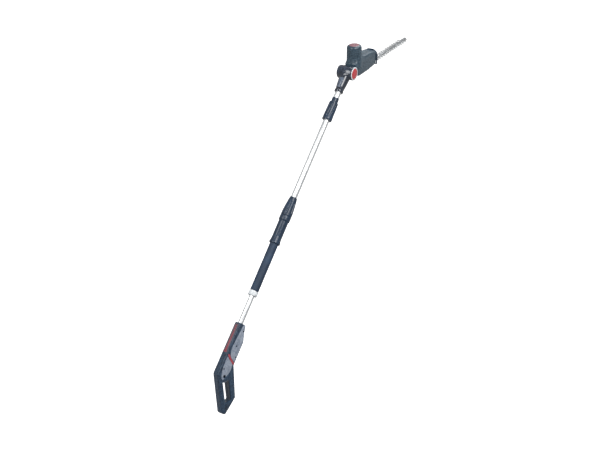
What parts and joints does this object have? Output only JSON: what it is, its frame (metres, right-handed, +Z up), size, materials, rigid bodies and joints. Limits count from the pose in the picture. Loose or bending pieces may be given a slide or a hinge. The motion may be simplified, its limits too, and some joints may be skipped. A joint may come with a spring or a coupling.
{
  "type": "telescoping pole trimmer",
  "caption": "Battery pole trimmer with a twist-lock telescoping pole and a tilting head that carries a double-sided reciprocating cutter.",
  "frame": {"origin": "on the pole's axis, at the middle of the main grip", "axes": "+Z up along the pole towards the cutter head, +Y from the palm side of the handle towards the trigger, +X to the right-hand side of the handle"},
  "size_m": [0.2355, 0.4654, 2.2183],
  "materials": {
    "shell": "fine moulded texture, satin",
    "head_shell": "satin moulded",
    "panel": "satin moulded",
    "accent": "gloss",
    "tube": "drawn and anodised",
    "steel": "ground",
    "soft_grip": "soft overmould",
    "foam": "closed-cell foam",
    "pale": "satin moulded",
    "winding": "varnished copper"
  },
  "bodies": {
    "handle": {"handle_shell_right": "shell", "handle_shell_left": "shell", "palm_pad": "soft_grip", "red_stripe": "accent", "side_panel_right": "panel", "side_panel_left": "panel", "red_sweep_right": "accent", "red_sweep_left": "accent", "lower_panel_right": "panel", "lower_panel_left": "panel", "shell_screw_1": "steel", "shell_screw_2": "steel", "shell_screw_3": "steel", "shell_screw_4": "steel", "foot_bumper": "shell", "tube_socket": "head_shell", "battery_rail": "head_shell", "battery_contacts": "panel", "trigger_pin": "steel", "trigger_spring": "steel", "switch_body": "shell", "lower_tube": "tube", "outer_tube": "tube", "end_collar": "pale", "foam_grip": "foam", "hand_stop": "shell", "mid_sleeve": "shell", "clamping_collet": "pale"},
    "trigger": {"trigger": "shell"},
    "lock_off": {"lock_off_button": "accent"},
    "lock_nut": {"twist_lock_nut": "shell"},
    "upper_pole": {"upper_tube": "tube", "guide_bush": "pale", "stub_tube": "tube", "coupling_plug": "head_shell", "elbow": "shell", "elbow_panel": "panel", "hinge_bolt": "steel", "hub_cap": "shell", "button_bezel": "pale", "button_spring": "steel"},
    "coupling_nut": {"coupling_nut": "shell"},
    "release_button": {"release_button": "accent"},
    "head": {"tilt_tongue": "head_shell", "head_shell_right": "head_shell", "head_shell_left": "head_shell", "motor_cap": "accent", "front_guard": "shell", "sole_plate": "shell", "guide_bar": "steel", "bar_bolt_1": "steel", "bar_bolt_2": "steel", "motor_can": "steel", "gearbox_plate": "head_shell"},
    "rotor": {"motor_rotor": "winding"},
    "drive_gear": {"drive_gear": "steel"},
    "upper_cutter": {"upper_blade": "steel", "upper_drive_link": "steel"},
    "lower_cutter": {"lower_blade": "steel", "lower_drive_link": "steel"}
  },
  "joints": [
    {"name": "telescope", "type": "slide", "parent": "handle", "child": "upper_pole", "axis": [0, 0, 1], "range_m": [-0.33, 0]},
    {"name": "lock_nut_turn", "type": "hinge", "parent": "handle", "child": "lock_nut", "pos_m": [0, 0, 0.7], "axis": [0, 0, 1], "range_deg": [-90, 0]},
    {"name": "coupling_turn", "type": "hinge", "parent": "upper_pole", "child": "coupling_nut", "pos_m": [0, 0, 1.24], "axis": [0, 0, 1], "range_deg": [-360, 0]},
    {"name": "head_tilt", "type": "hinge", "parent": "upper_pole", "child": "head", "pos_m": [0, 0, 1.451], "axis": [-0.9272, -0.3746, 0], "range_deg": [-56, 49]},
    {"name": "release_press", "type": "slide", "parent": "upper_pole", "child": "release_button", "axis": [-0.9272, -0.3746, 0], "range_m": [0, 0.004], "stiffness_N_per_m": 500, "springref_m": -0.004},
    {"name": "trigger_pull", "type": "hinge", "parent": "handle", "child": "trigger", "pos_m": [0, 0.036, 0.024], "axis": [-1, 0, 0], "range_deg": [0, 9], "stiffness_Nm_per_rad": 0.8, "springref_deg": -8.59},
    {"name": "lock_off_press", "type": "slide", "parent": "handle", "child": "lock_off", "axis": [1, 0, 0], "range_m": [0, 0.0025], "stiffness_N_per_m": 400, "springref_m": -0.003},
    {"name": "rotor_spin", "type": "hinge", "parent": "head", "child": "rotor", "pos_m": [-0.01892, 0.04684, 1.50911], "axis": [0.2827, -0.6998, 0.6561], "continuous": true},
    {"name": "gear_spin", "type": "hinge", "parent": "head", "child": "drive_gear", "pos_m": [-0.02622, 0.0649, 1.53153], "axis": [0.2827, -0.6998, 0.6561], "continuous": true},
    {"name": "upper_blade_stroke", "type": "slide", "parent": "head", "child": "upper_cutter", "axis": [-0.2458, 0.6083, 0.7547], "range_m": [-0.006, 0.006]},
    {"name": "lower_blade_stroke", "type": "slide", "parent": "head", "child": "lower_cutter", "axis": [-0.2458, 0.6083, 0.7547], "range_m": [-0.006, 0.006]}
  ],
  "couplings": [
    {"joint": "gear_spin", "follows": "rotor_spin", "ratio": -0.2},
    {"joint": "lower_blade_stroke", "follows": "upper_blade_stroke", "ratio": -1}
  ]
}
